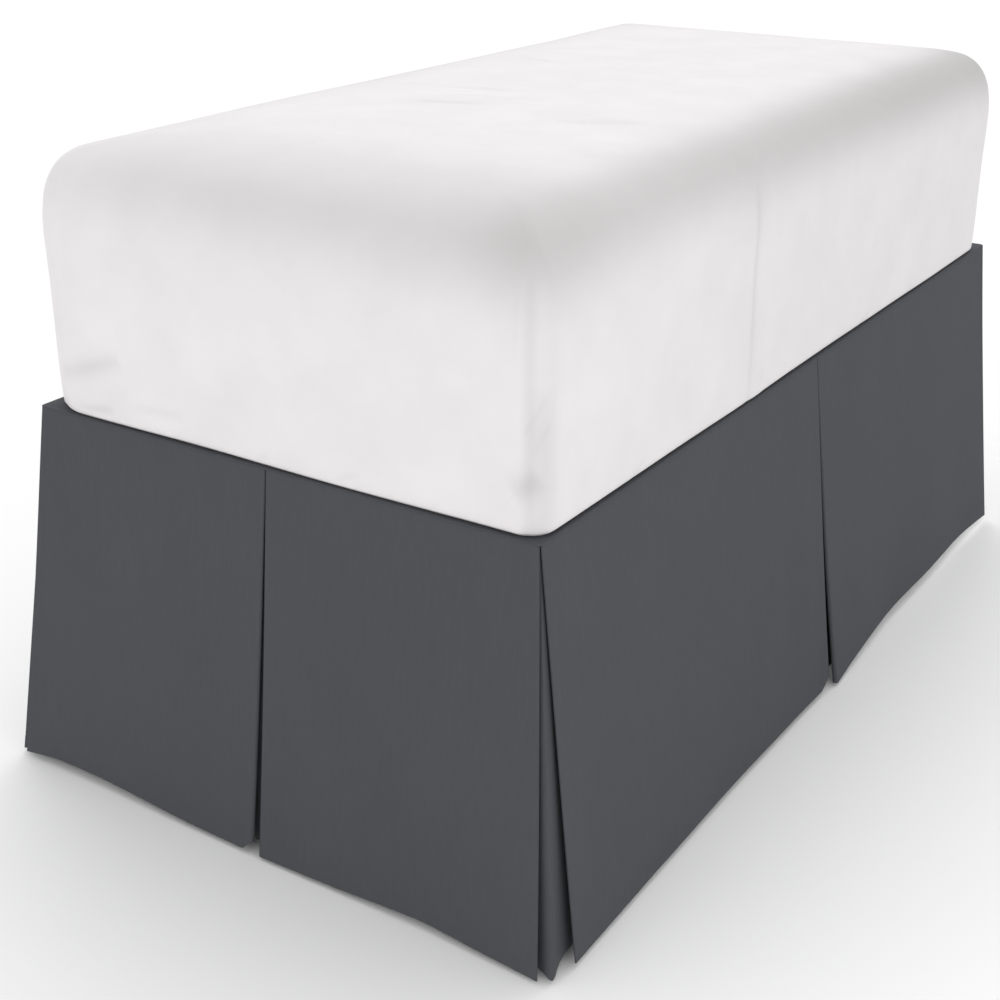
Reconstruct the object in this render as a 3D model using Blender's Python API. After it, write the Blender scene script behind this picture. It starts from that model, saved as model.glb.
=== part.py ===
"""A tailored bed skirt on a twin bed, with the mattress and the base that it hangs from.

The platform cloth lies on the box spring, under the mattress. Three drops hang from its edges: a
foot drop and two side drops, each with an inverted box pleat at its centre. A corner insert closes
each split foot corner from behind. The head end has no drop.

Metres, Z up. X runs across the bed and Y along it, with the head at +Y. The origin is on the floor
under the middle of the whole part. The foot drop flares and the head end doesn't, so the bed's own
middle is half a flare towards the head.
"""

import math
from collections import namedtuple

import bmesh
import bpy

MM = 0.001

# The bed and its cloth
BED_WIDTH = 0.990
BED_LENGTH = 1.905
DROP = 0.660
HEM_CLEARANCE = 0.008
FLARE = 0.080
CLOTH = 0.002
FIT = 0.0003

HALF_WIDTH = BED_WIDTH / 2
HALF_LENGTH = BED_LENGTH / 2
SKIRT_TOP = HEM_CLEARANCE + DROP
BED_MIDDLE_Y = FLARE / 2

# The pleats: how far each fold reaches back, and how far its layers are apart at top and hem
PLEAT_DEPTH = 0.090
LAYER_PITCH_TOP = 0.004
LAYER_PITCH_HEM = 0.009
FOLD_GAP = 0.0006
CLOSED_SHARE = 0.05
TURN_STEPS = 4
CORNER_NOTCH = 0.003

# Levels down a drop, as shares of its height
LEVELS = (0.0, 0.05, 0.14, 0.28, 0.44, 0.60, 0.76, 0.90, 1.0)

# Places across a panel, as shares of its width, and the share from which its fold is tucked up
PANEL_SHARES = (0.0, 0.03, 0.08, 0.16, 0.27, 0.38, 0.50, 0.62, 0.73, 0.84, 0.92, 0.97, 1.0)
TUCK_START = 0.97
RETURN_STEPS = 3
UNDERLAY_STEPS = 5
UNDERLAY_LIFT = 0.012

# A panel's rows, from its lower to its higher end along the bed: share of its width, how far its
# hem stands out of the even flare, and how far its hem is lifted off the lowest line
FOOT_PANEL_LEFT = (
    (0.00, 4 * MM, 4 * MM),
    (0.16, 1 * MM, 13 * MM),
    (0.42, 0 * MM, 11 * MM),
    (0.72, 4 * MM, 4 * MM),
    (1.00, 5 * MM, 1 * MM),
)
FOOT_PANEL_RIGHT = (
    (0.00, 6 * MM, 0 * MM),
    (0.30, 3 * MM, 3 * MM),
    (0.58, 0 * MM, 9 * MM),
    (0.80, 4 * MM, 5 * MM),
    (1.00, 8 * MM, 0 * MM),
)
NEAR_PANEL_RIGHT = (
    (0.00, 6 * MM, 2 * MM),
    (0.30, 2 * MM, 5 * MM),
    (0.62, 0 * MM, 7 * MM),
    (0.86, 3 * MM, 7 * MM),
    (1.00, 6 * MM, 6 * MM),
)
FAR_PANEL_RIGHT = (
    (0.00, 15 * MM, 0 * MM),
    (0.14, 9 * MM, 13 * MM),
    (0.34, 1 * MM, 19 * MM),
    (0.58, 5 * MM, 20 * MM),
    (0.82, 3 * MM, 16 * MM),
    (1.00, 7 * MM, 5 * MM),
)
NEAR_PANEL_LEFT = (
    (0.00, 7 * MM, 1 * MM),
    (0.36, 0 * MM, 7 * MM),
    (0.70, 5 * MM, 6 * MM),
    (1.00, 7 * MM, 1 * MM),
)
FAR_PANEL_LEFT = (
    (0.00, 9 * MM, 0 * MM),
    (0.24, 5 * MM, 8 * MM),
    (0.52, -3 * MM, 12 * MM),
    (0.78, 6 * MM, 9 * MM),
    (1.00, 5 * MM, 3 * MM),
)

# A corner insert's rows, from its hidden edge to the corner: distance from the corner, depth behind
# the drops' outer faces at top and hem, and how far its hem is lifted
INSERT_ROWS = (
    (120 * MM, 6.0 * MM, 16.0 * MM, 12 * MM),
    (78 * MM, 6.0 * MM, 17.0 * MM, 12 * MM),
    (46 * MM, 6.0 * MM, 15.0 * MM, 10 * MM),
    (25 * MM, 6.0 * MM, 10.0 * MM, 6 * MM),
    (12 * MM, 6.0 * MM, 6.0 * MM, 2 * MM),
)
INSERT_RIDGE_DEPTH = 0.0064

# Platform cloth
DECK_OVERHANG = 0.001
DECK_CORNER = 0.008

# Mattress: its plan, its corners' radii from the right corner at the head anticlockwise, and rows
# of height above its underside and inset from its widest outline
MATTRESS_HALF_WIDTH = HALF_WIDTH - 0.001
MATTRESS_HALF_LENGTH = HALF_LENGTH - 0.001
MATTRESS_CORNERS = (0.090, 0.090, 0.090, 0.045)
MATTRESS_ROWS = (
    (0 * MM, 9 * MM),
    (5 * MM, 3 * MM),
    (16 * MM, 1 * MM),
    (75 * MM, 0 * MM),
    (200 * MM, 1 * MM),
    (295 * MM, 0 * MM),
    (338 * MM, 3 * MM),
    (372 * MM, 11 * MM),
    (399 * MM, 26 * MM),
    (418 * MM, 47 * MM),
    (432 * MM, 80 * MM),
    (441 * MM, 128 * MM),
    (447 * MM, 205 * MM),
    (450 * MM, 320 * MM),
)

# Box spring
BOX_SPRING_HALF_WIDTH = 0.4825
BOX_SPRING_HALF_LENGTH = 0.940
BOX_SPRING_HEIGHT = 0.229
BOX_SPRING_CORNER = 0.030
BOX_SPRING_ROWS = (
    (0.0, 0.008),
    (0.003, 0.002),
    (0.009, 0.0),
    (BOX_SPRING_HEIGHT - 0.009, 0.0),
    (BOX_SPRING_HEIGHT - 0.003, 0.002),
    (BOX_SPRING_HEIGHT, 0.008),
)

# Metal frame
SLAT_COUNT = 9
SLAT_WIDTH = 0.050
SLAT_HEIGHT = 0.015
RAIL_WIDTH = 0.030
RAIL_HEIGHT = 0.045
RAIL_OUTER_X = 0.470
RAIL_OUTER_Y = 0.925
LEG_WIDTH = 0.036
LEG_PLACES_Y = (-0.86, 0.0, 0.86)
FOOT_WIDTH = 0.046
FOOT_HEIGHT = 0.016
BAR_EDGE = 0.002

SLATS_TOP = SKIRT_TOP - BOX_SPRING_HEIGHT - FIT
RAILS_TOP = SLATS_TOP - SLAT_HEIGHT - FIT
LEGS_TOP = RAILS_TOP - RAIL_HEIGHT - FIT

# A finish's name, colour, roughness and metallic value
FINISHES = {
    "skirt_cloth": ((0.083, 0.088, 0.095), 0.88, 0.0),
    "fitted_sheet": ((0.82, 0.81, 0.82), 0.90, 0.0),
    "box_spring_cover": ((0.62, 0.60, 0.56), 0.92, 0.0),
    "frame_enamel": ((0.030, 0.031, 0.033), 0.42, 0.0),
    "foot_plastic": ((0.020, 0.020, 0.021), 0.55, 0.0),
}

# A drop's first panel is the one at its lower end along the bed. Its fold is tucked up at the hem.
Drop = namedtuple("Drop", "name place ends pleat_opening tuck panels")


def clear_scene():
    for item in list(bpy.data.objects):
        bpy.data.objects.remove(item, do_unlink=True)


def make_finish(name):
    colour, roughness, metallic = FINISHES[name]
    finish = bpy.data.materials.new(name)
    finish.use_nodes = True
    shader = finish.node_tree.nodes["Principled BSDF"]
    shader.inputs["Base Color"].default_value = (*colour, 1.0)
    shader.inputs["Roughness"].default_value = roughness
    shader.inputs["Metallic"].default_value = metallic
    finish.diffuse_color = (*colour, 1.0)
    return finish


def add_piece(shape, name, finish, bed, smooth_angle=50):
    """Turns a bmesh into a named object on the bed, with outward faces."""
    bmesh.ops.recalc_face_normals(shape, faces=shape.faces)
    mesh = bpy.data.meshes.new(name)
    shape.to_mesh(mesh)
    shape.free()
    mesh.materials.append(finish)
    mesh.shade_smooth()
    mesh.set_sharp_from_angle(angle=math.radians(smooth_angle))
    piece = bpy.data.objects.new(name, mesh)
    bpy.context.scene.collection.objects.link(piece)
    piece.parent = bed
    return piece


def mix(start, end, share):
    return start + (end - start) * share


def read_rows(rows, share, column):
    """Reads a column of a table at a share between its rows, on a smooth curve through them."""
    last = len(rows) - 1
    k = next((i for i in range(last) if share <= rows[i + 1][0]), last - 1)

    def slope(i):
        before = rows[max(i - 1, 0)]
        after = rows[min(i + 1, last)]
        return (after[column] - before[column]) / (after[0] - before[0])

    width = rows[k + 1][0] - rows[k][0]
    t = (share - rows[k][0]) / width
    return (
        (2 * t**3 - 3 * t**2 + 1) * rows[k][column]
        + (t**3 - 2 * t**2 + t) * width * slope(k)
        + (3 * t**2 - 2 * t**3) * rows[k + 1][column]
        + (t**3 - t**2) * width * slope(k + 1)
    )


def layer_pitch(fall):
    return mix(LAYER_PITCH_TOP, LAYER_PITCH_HEM, fall)


def opened(fall):
    """How far a pleat has opened at a level: 0 where it is sewn shut, 1 at the hem."""
    return max(0.0, (fall - CLOSED_SHARE) / (1 - CLOSED_SHARE))


def panel_points(start, end, rows, tuck, fall):
    """A front panel's centre line at one level: along the bed, out from it, and its hem's lift."""
    points = []
    for share in PANEL_SHARES:
        out = FLARE * fall + read_rows(rows, share, 1) * fall**2 - CLOTH / 2
        lift = read_rows(rows, share, 2) + tuck * max(0.0, (share - TUCK_START) / (1 - TUCK_START))
        points.append((mix(start, end, share), out, lift))
    return points


def turn_points(layer_end, pitch, way):
    """A fold's half circle behind the end of a layer, bulging along the bed by its radius."""
    along, out, lift = layer_end
    radius = pitch / 2
    angles = [math.pi * step / TURN_STEPS for step in range(1, TURN_STEPS + 1)]
    return [(along + way * radius * math.sin(a), out - radius + radius * math.cos(a), lift) for a in angles]


def run_points(start, end, steps):
    """A straight run of cloth after a point, up to another one."""
    return [tuple(mix(a, b, k / steps) for a, b in zip(start, end)) for k in range(1, steps + 1)]


def drop_line(drop, fall):
    """A drop's centre line at one level, through both panels and the pleat between them."""
    pitch = layer_pitch(fall)
    (first_top, first_hem), (last_top, last_hem) = drop.ends
    fold = (FOLD_GAP + CLOTH + pitch) / 2 + drop.pleat_opening / 2 * opened(fall)
    first = panel_points(mix(first_top, first_hem, fall), -fold, drop.panels[0], drop.tuck, fall)
    last = panel_points(fold, mix(last_top, last_hem, fall), drop.panels[1], 0.0, fall)
    back = FLARE * fall - CLOTH / 2 - pitch
    lift = UNDERLAY_LIFT

    into = turn_points(first[-1], pitch, 1)
    into += run_points(into[-1], (-PLEAT_DEPTH, back, lift), RETURN_STEPS)
    into += turn_points(into[-1], pitch, -1)
    out_of = turn_points(last[0], pitch, -1)
    out_of += run_points(out_of[-1], (PLEAT_DEPTH, back, lift), RETURN_STEPS)
    out_of += turn_points(out_of[-1], pitch, 1)
    under = run_points(into[-1], out_of[-1], UNDERLAY_STEPS)[:-1]
    return first + into + under + out_of[::-1] + last


def sheet_shape(lines, place):
    """A closed sheet of cloth around centre lines at the levels of a drop.

    A line has points of along, out and lift. The sheet's two faces lie half a cloth to each side
    of it, and its edges are closed.
    """
    shape = bmesh.new()
    faces_of_cloth = []
    for side in (1, -1):
        grid = []
        for fall, line in zip(LEVELS, lines):
            row = []
            for k, (along, out, lift) in enumerate(line):
                before = line[max(k - 1, 0)]
                after = line[min(k + 1, len(line) - 1)]
                run = math.hypot(after[0] - before[0], after[1] - before[1])
                normal_along = -(after[1] - before[1]) / run
                normal_out = (after[0] - before[0]) / run
                x, y = place(
                    along + side * CLOTH / 2 * normal_along,
                    out + side * CLOTH / 2 * normal_out,
                )
                row.append(shape.verts.new((x, y, SKIRT_TOP - fall * (DROP - lift))))
            grid.append(row)
        faces_of_cloth.append(grid)

    front, back = faces_of_cloth
    rows = len(lines)
    columns = len(lines[0])
    for i in range(rows - 1):
        for k in range(columns - 1):
            for grid in (front, back):
                shape.faces.new((grid[i][k], grid[i][k + 1], grid[i + 1][k + 1], grid[i + 1][k]))
        for k in (0, columns - 1):
            shape.faces.new((front[i][k], front[i + 1][k], back[i + 1][k], back[i][k]))
    for k in range(columns - 1):
        for i in (0, rows - 1):
            shape.faces.new((front[i][k], front[i][k + 1], back[i][k + 1], back[i][k]))
    return shape


def foot_place(along, out):
    return along, -HALF_LENGTH - out


def right_place(along, out):
    return HALF_WIDTH + out, along


def left_place(along, out):
    return -HALF_WIDTH - out, along


def make_drops(finish, bed):
    """The foot drop and the two side drops. An end is given at its top and at its hem."""
    corner_x = (HALF_WIDTH - CORNER_NOTCH, HALF_WIDTH + 0.70 * FLARE)
    corner_y = (HALF_LENGTH - CORNER_NOTCH, HALF_LENGTH + 0.30 * FLARE)
    foot_ends = ((-corner_x[0], -corner_x[1]), corner_x)
    side_ends = ((-corner_y[0], -corner_y[1]), (HALF_LENGTH, HALF_LENGTH))
    foot_panels = (FOOT_PANEL_LEFT, FOOT_PANEL_RIGHT)
    right_panels = (NEAR_PANEL_RIGHT, FAR_PANEL_RIGHT)
    left_panels = (NEAR_PANEL_LEFT, FAR_PANEL_LEFT)
    drops = (
        Drop("foot_drop", foot_place, foot_ends, 0.012, 0.018, foot_panels),
        Drop("side_drop_right", right_place, side_ends, 0.018, 0.018, right_panels),
        Drop("side_drop_left", left_place, side_ends, 0.015, 0.010, left_panels),
    )
    for drop in drops:
        lines = [drop_line(drop, fall) for fall in LEVELS]
        add_piece(sheet_shape(lines, drop.place), drop.name, finish, bed)


def insert_line(fall):
    """A corner insert's centre line at one level, as distances inward from the flared corner."""
    half = [(distance, mix(top, hem, fall), lift) for distance, top, hem, lift in INSERT_ROWS]
    other_half = [(depth, distance, lift) for distance, depth, lift in half[::-1]]
    return half + [(INSERT_RIDGE_DEPTH, INSERT_RIDGE_DEPTH, 0.0)] + other_half


def make_corner_insert(name, side, finish, bed):
    """The underlay behind a split foot corner. side is 1 at +X and -1 at -X."""
    lines = []
    for fall in LEVELS:
        reach = FLARE * fall
        lines.append(
            [
                (HALF_WIDTH + reach - inward_x, HALF_LENGTH + reach - inward_y, lift)
                for inward_x, inward_y, lift in insert_line(fall)
            ]
        )

    def place(across, towards_foot):
        return side * across, -towards_foot

    add_piece(sheet_shape(lines, place), name, finish, bed)


def rounded_rectangle(half_x, half_y, radii, corner_steps, side_steps):
    """Plan points of a rectangle with round corners, anticlockwise from the right end of its side
    at +Y, each corner with its own radius."""
    points = []
    corners = ((1, 1, 0), (-1, 1, 90), (-1, -1, 180), (1, -1, 270))
    for k, (sign_x, sign_y, start) in enumerate(corners):
        radius = radii[k]
        centre = (sign_x * (half_x - radius), sign_y * (half_y - radius))
        arc = [math.radians(start + 90 * step / corner_steps) for step in range(corner_steps + 1)]
        points += [(centre[0] + radius * math.cos(a), centre[1] + radius * math.sin(a)) for a in arc]
        next_x, next_y, next_start = corners[(k + 1) % 4]
        next_radius = radii[(k + 1) % 4]
        turn = math.radians(next_start)
        goal = (
            next_x * (half_x - next_radius) + next_radius * math.cos(turn),
            next_y * (half_y - next_radius) + next_radius * math.sin(turn),
        )
        start_of_side = points[-1]
        for step in range(1, side_steps[k % 2]):
            share = step / side_steps[k % 2]
            points.append(tuple(mix(a, b, share) for a, b in zip(start_of_side, goal)))
    return points


def stacked_shape(rows, half_x, half_y, radii, floor, corner_steps, side_steps):
    """A closed body of rounded rectangles, one on top of another, from rows of height and inset."""
    shape = bmesh.new()
    rings = []
    for height, inset in rows:
        shrunk = [max(radius - inset, 0.3 * radius) for radius in radii]
        plan = rounded_rectangle(half_x - inset, half_y - inset, shrunk, corner_steps, side_steps)
        rings.append([shape.verts.new((x, y, floor + height)) for x, y in plan])
    for lower, upper in zip(rings, rings[1:]):
        for k in range(len(lower)):
            after = (k + 1) % len(lower)
            shape.faces.new((lower[k], lower[after], upper[after], upper[k]))
    shape.faces.new(rings[0][::-1])
    shape.faces.new(rings[-1])
    return shape


def make_deck(finish, bed):
    rows = ((0.0, 0.0), (CLOTH, 0.0))
    half_x = HALF_WIDTH + DECK_OVERHANG
    half_y = HALF_LENGTH + DECK_OVERHANG
    shape = stacked_shape(rows, half_x, half_y, (DECK_CORNER,) * 4, SKIRT_TOP + FIT, 3, (1, 1))
    add_piece(shape, "deck", finish, bed)


def make_mattress(finish, bed):
    floor = SKIRT_TOP + FIT + CLOTH + FIT
    shape = stacked_shape(
        MATTRESS_ROWS, MATTRESS_HALF_WIDTH, MATTRESS_HALF_LENGTH, MATTRESS_CORNERS, floor, 6, (3, 5)
    )
    add_piece(shape, "mattress", finish, bed, smooth_angle=80)


def make_box_spring(finish, bed):
    shape = stacked_shape(
        BOX_SPRING_ROWS,
        BOX_SPRING_HALF_WIDTH,
        BOX_SPRING_HALF_LENGTH,
        (BOX_SPRING_CORNER,) * 4,
        SKIRT_TOP - BOX_SPRING_HEIGHT,
        4,
        (2, 3),
    )
    add_piece(shape, "box_spring", finish, bed)


def make_bar(name, size, middle, top, finish, bed):
    """A bar or block with eased edges, of a size along X, Y and Z, with its top at a height."""
    shape = bmesh.new()
    bmesh.ops.create_cube(shape, size=1.0)
    bmesh.ops.scale(shape, vec=size, verts=shape.verts)
    bmesh.ops.bevel(shape, geom=shape.edges[:], offset=BAR_EDGE, segments=1, affect="EDGES")
    bmesh.ops.translate(shape, vec=(middle[0], middle[1], top - size[2] / 2), verts=shape.verts)
    add_piece(shape, name, finish, bed, smooth_angle=30)


def make_frame(enamel, plastic, bed):
    rail_x = RAIL_OUTER_X - RAIL_WIDTH / 2
    rail_y = RAIL_OUTER_Y - RAIL_WIDTH / 2
    between_x = 2 * (RAIL_OUTER_X - RAIL_WIDTH - FIT)
    between_y = 2 * (RAIL_OUTER_Y - RAIL_WIDTH - FIT)
    along_bed = (RAIL_WIDTH, 2 * RAIL_OUTER_Y, RAIL_HEIGHT)
    across_bed = (between_x, RAIL_WIDTH, RAIL_HEIGHT)
    make_bar("side_rail_right", along_bed, (rail_x, 0), RAILS_TOP, enamel, bed)
    make_bar("side_rail_left", along_bed, (-rail_x, 0), RAILS_TOP, enamel, bed)
    make_bar("head_rail", across_bed, (0, rail_y), RAILS_TOP, enamel, bed)
    make_bar("foot_rail", across_bed, (0, -rail_y), RAILS_TOP, enamel, bed)
    make_bar("centre_rail", (RAIL_WIDTH, between_y, RAIL_HEIGHT), (0, 0), RAILS_TOP, enamel, bed)

    slat_reach = RAIL_OUTER_Y - SLAT_WIDTH / 2
    for k in range(SLAT_COUNT):
        y = mix(-slat_reach, slat_reach, k / (SLAT_COUNT - 1))
        size = (2 * RAIL_OUTER_X, SLAT_WIDTH, SLAT_HEIGHT)
        make_bar(f"slat_{k + 1}", size, (0, y), SLATS_TOP, enamel, bed)

    leg_height = LEGS_TOP - FOOT_HEIGHT - FIT
    for side, side_name in ((1, "right"), (-1, "left")):
        for y, place_name in zip(LEG_PLACES_Y, ("foot", "middle", "head")):
            middle = (side * (RAIL_OUTER_X - LEG_WIDTH / 2), y)
            leg_size = (LEG_WIDTH, LEG_WIDTH, leg_height)
            foot_size = (FOOT_WIDTH, FOOT_WIDTH, FOOT_HEIGHT)
            make_bar(f"leg_{side_name}_{place_name}", leg_size, middle, LEGS_TOP, enamel, bed)
            make_bar(f"leg_cap_{side_name}_{place_name}", foot_size, middle, FOOT_HEIGHT, plastic, bed)


def main():
    clear_scene()
    bed = bpy.data.objects.new("bed", None)
    bpy.context.scene.collection.objects.link(bed)
    bed.location = (0, BED_MIDDLE_Y, 0)

    finishes = {name: make_finish(name) for name in FINISHES}
    make_deck(finishes["skirt_cloth"], bed)
    make_drops(finishes["skirt_cloth"], bed)
    make_corner_insert("corner_insert_right", 1, finishes["skirt_cloth"], bed)
    make_corner_insert("corner_insert_left", -1, finishes["skirt_cloth"], bed)
    make_mattress(finishes["fitted_sheet"], bed)
    make_box_spring(finishes["box_spring_cover"], bed)
    make_frame(finishes["frame_enamel"], finishes["foot_plastic"], bed)
    bpy.context.view_layer.update()


main()
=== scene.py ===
"""The looks of a bed skirt on a twin bed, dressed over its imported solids.

Metres, Z up, head of the bed at +Y. The cloth pieces repeat the folds of their solids on finer
sheets, with hems, seams and the small unevenness of hung cloth.
"""

import math
from collections import namedtuple

import bmesh
import bpy
import numpy as np
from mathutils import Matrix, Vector, noise


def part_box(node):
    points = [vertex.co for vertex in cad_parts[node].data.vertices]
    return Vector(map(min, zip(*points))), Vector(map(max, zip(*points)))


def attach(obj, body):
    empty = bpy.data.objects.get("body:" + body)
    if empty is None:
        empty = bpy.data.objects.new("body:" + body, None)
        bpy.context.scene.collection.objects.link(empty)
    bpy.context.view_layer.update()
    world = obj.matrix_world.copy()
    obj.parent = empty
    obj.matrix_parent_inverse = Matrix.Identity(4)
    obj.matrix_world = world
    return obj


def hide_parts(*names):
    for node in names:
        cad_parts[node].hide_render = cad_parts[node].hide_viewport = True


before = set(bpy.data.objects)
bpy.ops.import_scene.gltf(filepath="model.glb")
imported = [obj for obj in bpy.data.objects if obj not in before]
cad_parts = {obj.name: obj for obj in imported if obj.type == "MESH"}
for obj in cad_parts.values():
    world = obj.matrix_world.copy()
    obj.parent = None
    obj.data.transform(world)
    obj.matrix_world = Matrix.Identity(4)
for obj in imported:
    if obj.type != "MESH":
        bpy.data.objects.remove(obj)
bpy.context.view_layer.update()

MM = 0.001

# The skirt's sizes, as in its solids
FLARE = 0.080
SOLID_CLOTH = 0.002
FIT = 0.0003
DECK_OVERHANG = 0.001
DECK_CORNER = 0.008
PLEAT_DEPTH = 0.090
LAYER_PITCH_TOP = 0.004
LAYER_PITCH_HEM = 0.009
FOLD_GAP = 0.0006
CLOSED_SHARE = 0.05
CORNER_NOTCH = 0.003
TUCK_START = 0.97
UNDERLAY_LIFT = 0.012

# How much of the flare the split corner's free edges follow along the bed: the foot drop's, then
# the side drops'
FOOT_CORNER_SPREAD = 0.70
SIDE_CORNER_SPREAD = 0.30

DECK_LOW, DECK_HIGH = (Vector(corner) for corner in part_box("deck"))
DROP_LOW, DROP_HIGH = (Vector(corner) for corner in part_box("side_drop_right"))
MATTRESS_LOW, MATTRESS_HIGH = (Vector(corner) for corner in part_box("mattress"))
BASE_LOW, BASE_HIGH = (Vector(corner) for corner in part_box("box_spring"))

HALF_WIDTH = (DECK_HIGH.x - DECK_LOW.x) / 2 - DECK_OVERHANG
HALF_LENGTH = (DECK_HIGH.y - DECK_LOW.y) / 2 - DECK_OVERHANG
BED_MIDDLE_Y = (DECK_HIGH.y + DECK_LOW.y) / 2
SKIRT_TOP = DROP_HIGH.z
DROP = DROP_HIGH.z - DROP_LOW.z

# Thickness of the cloth alone and where it is doubled by a hem, and the hems' widths
CLOTH = 0.0014
HEM_CLOTH = 0.0021
HEM_WIDTH = 0.026
SIDE_HEM_WIDTH = 0.012
HEM_STEP = 0.002

# Spacing of the points on the finer sheets
PANEL_PITCH = 0.009
LEVEL_PITCH = 0.010
TURN_STEPS = 8
RETURN_STEPS = 8
UNDERLAY_STEPS = 20

# A panel's rows, from its lower to its higher end along the bed: share of its width, how far its
# hem stands out of the even flare, and how far its hem is lifted off the lowest line
FOOT_PANEL_LEFT = (
    (0.00, 4 * MM, 4 * MM),
    (0.16, 1 * MM, 13 * MM),
    (0.42, 0 * MM, 11 * MM),
    (0.72, 4 * MM, 4 * MM),
    (1.00, 5 * MM, 1 * MM),
)
FOOT_PANEL_RIGHT = (
    (0.00, 6 * MM, 0 * MM),
    (0.30, 3 * MM, 3 * MM),
    (0.58, 0 * MM, 9 * MM),
    (0.80, 4 * MM, 5 * MM),
    (1.00, 8 * MM, 0 * MM),
)
NEAR_PANEL_RIGHT = (
    (0.00, 6 * MM, 2 * MM),
    (0.30, 2 * MM, 5 * MM),
    (0.62, 0 * MM, 7 * MM),
    (0.86, 3 * MM, 7 * MM),
    (1.00, 6 * MM, 6 * MM),
)
FAR_PANEL_RIGHT = (
    (0.00, 15 * MM, 0 * MM),
    (0.14, 9 * MM, 13 * MM),
    (0.34, 1 * MM, 19 * MM),
    (0.58, 5 * MM, 20 * MM),
    (0.82, 3 * MM, 16 * MM),
    (1.00, 7 * MM, 5 * MM),
)
NEAR_PANEL_LEFT = (
    (0.00, 7 * MM, 1 * MM),
    (0.36, 0 * MM, 7 * MM),
    (0.70, 5 * MM, 6 * MM),
    (1.00, 7 * MM, 1 * MM),
)
FAR_PANEL_LEFT = (
    (0.00, 9 * MM, 0 * MM),
    (0.24, 5 * MM, 8 * MM),
    (0.52, -3 * MM, 12 * MM),
    (0.78, 6 * MM, 9 * MM),
    (1.00, 5 * MM, 3 * MM),
)

# A corner insert's rows, from its hidden edge to the corner: distance from the corner, depth behind
# the drops' outer faces at top and hem, and how far its hem is lifted
INSERT_ROWS = (
    (120 * MM, 6.0 * MM, 16.0 * MM, 12 * MM),
    (78 * MM, 6.0 * MM, 17.0 * MM, 12 * MM),
    (46 * MM, 6.0 * MM, 15.0 * MM, 10 * MM),
    (25 * MM, 6.0 * MM, 10.0 * MM, 6 * MM),
    (12 * MM, 6.0 * MM, 6.0 * MM, 2 * MM),
)
INSERT_RIDGE_DEPTH = 0.0064
INSERT_STEPS_EACH = 4

# Gentle waves of the hung cloth: repeats in a metre along it, repeats down the drop, and height
WAVES = (
    (2.6, 1.1, 1.8 * MM),
    (9.0, 1.0, 0.7 * MM),
    (31.0, 1.6, 0.22 * MM),
)

Pucker = namedtuple("Pucker", "along width length lean depth")
# Short gathers under the top seam: where along the drop, how wide, how long, how far they lean
# along the drop in their length, and how deep
FOOT_PUCKERS = (
    Pucker(-0.395, 0.010, 0.055, 0.020, 1.0 * MM),
    Pucker(-0.240, 0.008, 0.040, -0.012, 0.7 * MM),
    Pucker(-0.052, 0.009, 0.060, 0.022, 1.2 * MM),
    Pucker(0.048, 0.010, 0.050, -0.016, 1.0 * MM),
    Pucker(0.215, 0.009, 0.045, 0.014, 0.8 * MM),
    Pucker(0.330, 0.008, 0.035, -0.010, 0.6 * MM),
)
SIDE_PUCKERS = (
    Pucker(-0.780, 0.010, 0.050, 0.018, 0.9 * MM),
    Pucker(-0.520, 0.009, 0.040, -0.012, 0.7 * MM),
    Pucker(-0.230, 0.010, 0.045, 0.015, 0.8 * MM),
    Pucker(-0.055, 0.009, 0.050, 0.018, 1.1 * MM),
    Pucker(0.060, 0.010, 0.050, -0.018, 1.0 * MM),
    Pucker(0.330, 0.009, 0.045, 0.014, 0.8 * MM),
    Pucker(0.640, 0.010, 0.040, -0.012, 0.8 * MM),
)

# Mattress: corner radii from the head's right corner anticlockwise, then rows of height above its
# underside and inset from its widest outline
MATTRESS_CORNERS = (0.090, 0.090, 0.090, 0.045)
MATTRESS_ROWS = (
    (0 * MM, 9 * MM),
    (5 * MM, 3 * MM),
    (16 * MM, 1 * MM),
    (75 * MM, 0 * MM),
    (200 * MM, 1 * MM),
    (295 * MM, 0 * MM),
    (338 * MM, 3 * MM),
    (372 * MM, 11 * MM),
    (399 * MM, 26 * MM),
    (418 * MM, 47 * MM),
    (432 * MM, 80 * MM),
    (441 * MM, 128 * MM),
    (447 * MM, 205 * MM),
    (450 * MM, 320 * MM),
    (450.2 * MM, 484 * MM),
)

# Spacing of the mattress's rows, the inset from which every other row is enough, and the steps
# across an end, along a side and round a corner
MATTRESS_PITCH = 0.007
MATTRESS_TOP_START = 0.14
MATTRESS_END_STEPS = 125
MATTRESS_SIDE_STEPS = 225
MATTRESS_CORNER_STEPS = 16

# Height of the sheet's soft unevenness, and its repeats in a metre
SOFTNESS = 2.0 * MM
SOFTNESS_RATE = 3.5

# A seam in each long wall of the sheet: how far from the foot, and the points about it
SEAM_FROM_FOOT = 0.657
SEAM_OFFSETS = [place * MM for place in (-12, -8, -4, 0, 4, 8, 12, 16, 20)]

PaintedEdgeShade = namedtuple("PaintedEdgeShade", "side strengths inward downward")
# Painted shade along each rounded top edge of the sheet: its strengths from the left or the foot
# to the other end, and how far it fades over the top and down the wall
PAINTED_EDGE_SHADES = (
    PaintedEdgeShade("foot", (0.05, 0.32, 0.38, 0.44, 0.48), 0.190, 0.090),
    PaintedEdgeShade("right", (0.50, 0.68, 0.76, 0.84, 0.88), 0.075, 0.070),
    PaintedEdgeShade("head", (0.30, 0.35, 0.35, 0.35, 0.30), 0.100, 0.070),
    PaintedEdgeShade("left", (0.05, 0.30, 0.40, 0.40, 0.35), 0.090, 0.070),
)

# Where the painted shade is deepest: in from the widest outline, and up from the underside
EDGE_INSET = 0.045
EDGE_HEIGHT = 0.418

Crease = namedtuple("Crease", "start end width height shade")
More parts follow.
